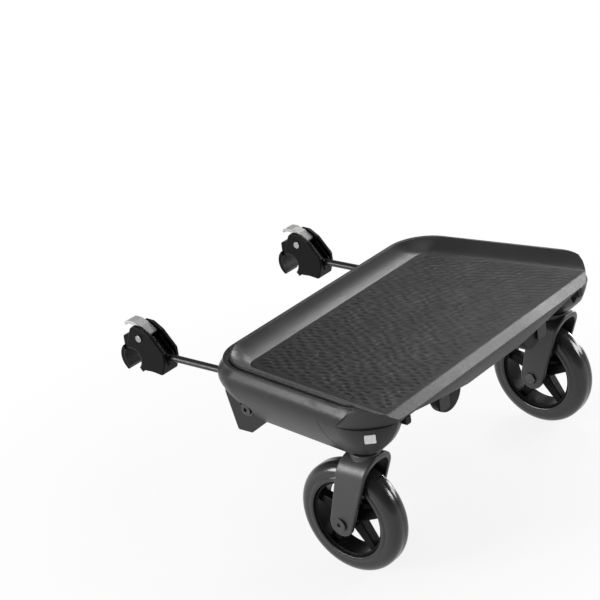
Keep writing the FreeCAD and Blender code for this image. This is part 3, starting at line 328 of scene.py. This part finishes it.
def ripple(x, y):
    """Height, 0 to 1, of the mat's short wavy ripples at a spot in metres."""
    along = x * math.cos(ripple_turn) + y * math.sin(ripple_turn)
    across = -x * math.sin(ripple_turn) + y * math.cos(ripple_turn)
    drift = noise.noise((along * drift_scale, across * drift_scale, drift_slice)) * drift_height
    sway = sway_height * math.sin(along * 2 * math.pi / sway_length + across * sway_slant)
    row = (across + sway + drift) / row_pitch
    lane = math.floor(row)
    shift = 0.5 * (lane % 2) + lane_scatter * noise.noise((lane * lane_step, *lane_slice))
    breaks = break_depth * noise.noise((along * break_scale, across * break_scale, break_slice))
    dash = math.sin(math.pi * (along / dash_length + shift) + breaks)
    crest = 0.5 + 0.5 * math.cos(2 * math.pi * (row - lane - 0.5))
    return crest ** crest_power * (dash_floor + (1 - dash_floor) * dash * dash)


# The mat's outline and relief, in metres and radians
mat_seam = 0.00036
mat_side_taper = 0.128
mat_corner = 0.0129
mat_columns, mat_rows = 300, 230
mat_plain_border = 0.003
mat_border_fade = 0.006
mat_plain_drop = 0.0003
ripple_height = 0.0007
ripple_middle = 0.3
top_tolerance = 1e-5
rear_band = 0.003


def grip_mat():
    """The rubber mat: a tapered sheet with rounded front corners, rippled inside a plain border."""
    low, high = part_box("grip_mat")
    top = [v.co for v in nodes["grip_mat"].data.vertices if v.co.z > high.z - top_tolerance]
    rear_y = low.y - mat_seam
    rear_half = max(abs(p.x) for p in top if p.y < low.y + rear_band) + mat_seam
    front_y = high.y + mat_seam
    front_half = rear_half - (front_y - rear_y) * math.tan(mat_side_taper)
    bm = bmesh.new()
    grid = []
    for j in range(mat_rows + 1):
        t = j / mat_rows
        y = rear_y + (front_y - rear_y) * t
        half = rear_half + (front_half - rear_half) * t
        reach = max(0.0, y - (front_y - mat_corner))
        half -= mat_corner - math.sqrt(max(0.0, mat_corner * mat_corner - reach * reach))
        line = []
        for i in range(mat_columns + 1):
            x = half * (2 * i / mat_columns - 1)
            edge = min(half - abs(x), front_y - y, y - rear_y)
            fade = min(1.0, max(0.0, (edge - mat_plain_border) / mat_border_fade))
            z = high.z - mat_plain_drop + ripple_height * fade * (ripple(x, y) - ripple_middle)
            line.append(bm.verts.new((x, y, z)))
        grid.append(line)
    for j in range(mat_rows):
        for i in range(mat_columns):
            bm.faces.new((grid[j][i], grid[j][i + 1], grid[j + 1][i + 1], grid[j + 1][i]))
    rim = [grid[0][i] for i in range(mat_columns)]
    rim += [grid[j][mat_columns] for j in range(mat_rows)]
    rim += [grid[mat_rows][i] for i in range(mat_columns, 0, -1)]
    rim += [grid[j][0] for j in range(mat_rows, 0, -1)]
    foot = [bm.verts.new((v.co.x, v.co.y, low.z)) for v in rim]
    for k in range(len(rim)):
        n = (k + 1) % len(rim)
        bm.faces.new((rim[k], foot[k], foot[n], rim[n]))
    bm.faces.new(list(reversed(foot)))
    piece("grip_mat_rippled", bm, "mat_rubber", "deck", ["grip_mat"], smooth_deg=60.0)


def lathe(profile, centre, steps):
    """A ring turned about the X axis through centre, from a closed (offset, radius) profile."""
    bm = bmesh.new()
    rings = []
    for k in range(steps):
        angle = 2 * math.pi * k / steps
        rings.append([bm.verts.new((centre.x + offset,
                                    centre.y + radius * math.cos(angle),
                                    centre.z + radius * math.sin(angle)))
                      for offset, radius in profile])
    for k in range(steps):
        here, there = rings[k], rings[(k + 1) % steps]
        for i in range(len(profile)):
            n = (i + 1) % len(profile)
            bm.faces.new((here[i], here[n], there[n], there[i]))
    return bm


# The tyre's section in metres; the sidewall runs from the seat outwards, as (inset from the tyre's side,
# height above the seat)
sidewall = ((0.0012, 0.0), (0.0004, 0.0004), (0.0, 0.0012), (0.0, 0.0042),
            (0.0003, 0.0048), (0.0009, 0.0052), (0.0009, 0.0056))
shoulder_radius = 0.0115
shoulder_inset = 0.0006
shoulder_steps = 15
groove_half_width = 0.0012
groove_floor_half_width = 0.0005
groove_depth = 0.00012
tyre_steps = 128


def tyre(side):
    """A cast tyre: rounded tread with a fine parting line, and a stepped sidewall."""
    low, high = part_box(f"{side}_tyre")
    centre = (low + high) / 2
    half = (high.x - low.x) / 2
    outer = (high.z - low.z) / 2
    seat = min(math.hypot(v.co.y - centre.y, v.co.z - centre.z)
               for v in nodes[f"{side}_tyre"].data.vertices)
    wall = [(half - inset, seat + height) for inset, height in sidewall]
    for k in range(1, shoulder_steps):
        angle = math.radians(90.0 * k / shoulder_steps)
        wall.append((half - shoulder_radius + (shoulder_radius - shoulder_inset) * math.cos(angle),
                     outer - shoulder_radius + shoulder_radius * math.sin(angle)))
    wall += [(groove_half_width, outer), (groove_floor_half_width, outer - groove_depth)]
    profile = wall + [(-offset, radius) for offset, radius in reversed(wall)]
    ring = lathe(profile, centre, tyre_steps)
    piece(f"{side}_tyre_cast", ring, "tyre", f"{side}_wheel", [f"{side}_tyre"], smooth_deg=32.0)


def button_spring(side):
    """The coil behind a release button, as a piece of its own with its own copy of the mesh."""
    bm = bmesh.new()
    bm.from_mesh(nodes[f"{side}_button_spring"].data)
    coil = piece(f"{side}_button_coil", bm, "steel", "deck", [f"{side}_button_spring"])
    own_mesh(coil)


grip_mat()
for side in SIDES:
    tyre(side)
    button_spring(side)


# Stage, light and camera

def stage_floor(size, drop, grey, middle_white, fade_start, fade_end):
    """A grey floor that is seen as white, apart from a trace of its shadows near the middle."""
    bpy.ops.mesh.primitive_plane_add(size=size, location=(0, 0, -drop))
    floor = bpy.context.object
    floor.name = "studio_floor"
    material = bpy.data.materials.new("studio_floor")
    material.use_nodes = True
    tree = material.node_tree
    link = tree.links.new
    base = tree.nodes["Principled BSDF"]
    base.inputs["Base Color"].default_value = (grey, grey, grey, 1)
    base.inputs["Roughness"].default_value = 0.9
    base.inputs["Specular IOR Level"].default_value = 0.0
    glow = add_node(tree, "ShaderNodeEmission")
    glow.inputs["Strength"].default_value = 1.0
    place = add_node(tree, "ShaderNodeTexCoord")
    distance = add_node(tree, "ShaderNodeVectorMath", operation="LENGTH")
    link(place.outputs["Object"], distance.inputs[0])
    fade = map_range(tree, distance.outputs["Value"], low=middle_white, high=1.0,
                     start=fade_start, end=fade_end, curve="SMOOTHSTEP")
    path = add_node(tree, "ShaderNodeLightPath").outputs
    mirrored = combine(tree, "MAXIMUM", path["Is Glossy Ray"], path["Is Transmission Ray"])
    shown = combine(tree, "MAXIMUM", mirrored, path["Is Camera Ray"])
    mixed = add_node(tree, "ShaderNodeMixShader")
    link(combine(tree, "MULTIPLY", fade, shown), mixed.inputs["Fac"])
    link(base.outputs["BSDF"], mixed.inputs[1])
    link(glow.outputs["Emission"], mixed.inputs[2])
    link(mixed.outputs["Shader"], tree.nodes["Material Output"].inputs["Surface"])
    floor.data.materials.append(material)


def world_light(horizon, zenith, fade_start, fade_end):
    """A pale room: bright low down all round, dimmer overhead."""
    world = bpy.data.worlds.new("studio")
    scene.world = world
    world.use_nodes = True
    tree = world.node_tree
    sky = tree.nodes["Background"]
    sky.inputs["Color"].default_value = (*WHITE, 1)
    place = add_node(tree, "ShaderNodeTexCoord")
    split = add_node(tree, "ShaderNodeSeparateXYZ")
    tree.links.new(place.outputs["Generated"], split.inputs["Vector"])
    fade = map_range(tree, split.outputs["Z"], low=horizon, high=zenith,
                     start=fade_start, end=fade_end, curve="SMOOTHSTEP")
    tree.links.new(fade, sky.inputs["Strength"])


def softbox(name, place, aim_height, width, height, watts):
    """A lit panel at a place, turned to a spot above the middle of the floor."""
    lamp = bpy.data.lights.new(name, "AREA")
    lamp.shape = "RECTANGLE"
    lamp.size = width
    lamp.size_y = height
    lamp.energy = watts
    obj = bpy.data.objects.new(name, lamp)
    scene.collection.objects.link(obj)
    obj.visible_camera = False
    obj.location = place
    towards = Vector((0, 0, aim_height)) - Vector(place)
    obj.rotation_euler = towards.to_track_quat("-Z", "Y").to_euler()


stage_floor(size=14.0, drop=0.0004, grey=0.66, middle_white=0.86, fade_start=0.20, fade_end=0.60)
world_light(horizon=0.50, zenith=0.20, fade_start=0.05, fade_end=0.42)
softbox("key_front", (1.11, 0.40, 1.20), aim_height=0.18, width=0.72, height=0.42, watts=8.2)
softbox("key_rear", (1.72, -1.30, 0.84), aim_height=0.18, width=1.1, height=0.5, watts=22.0)
softbox("side_right", (1.9, -0.12, 0.36), aim_height=0.12, width=0.8, height=0.6, watts=26.0)
softbox("fill_left_front", (-1.88, 1.0, 0.62), aim_height=0.15, width=1.3, height=0.85, watts=60.0)
softbox("top", (0.1, -0.3, 2.4), aim_height=0.15, width=1.4, height=1.4, watts=8.0)

# The camera, solved for a square picture: focal length and width in pixels, place in metres, axes
focal_px, picture_px = 1961.0, 600.0
sensor_mm = 36.0
camera_place = (-1.5074, -1.275821, 1.078824)
right = Vector((0.618134, -0.776672, -0.121207))
down = Vector((-0.386603, -0.166117, -0.907162))
ahead = Vector((0.684433, 0.607607, -0.402946))
camera = bpy.data.objects.new("photo_camera", bpy.data.cameras.new("photo_camera"))
scene.collection.objects.link(camera)
camera.data.sensor_fit = "HORIZONTAL"
camera.data.sensor_width = sensor_mm
camera.data.lens = sensor_mm * focal_px / picture_px
camera.data.clip_end = 50.0
turned = Matrix((right, -down, -ahead)).transposed().to_4x4()
camera.matrix_world = Matrix.Translation(camera_place) @ turned
scene.camera = camera
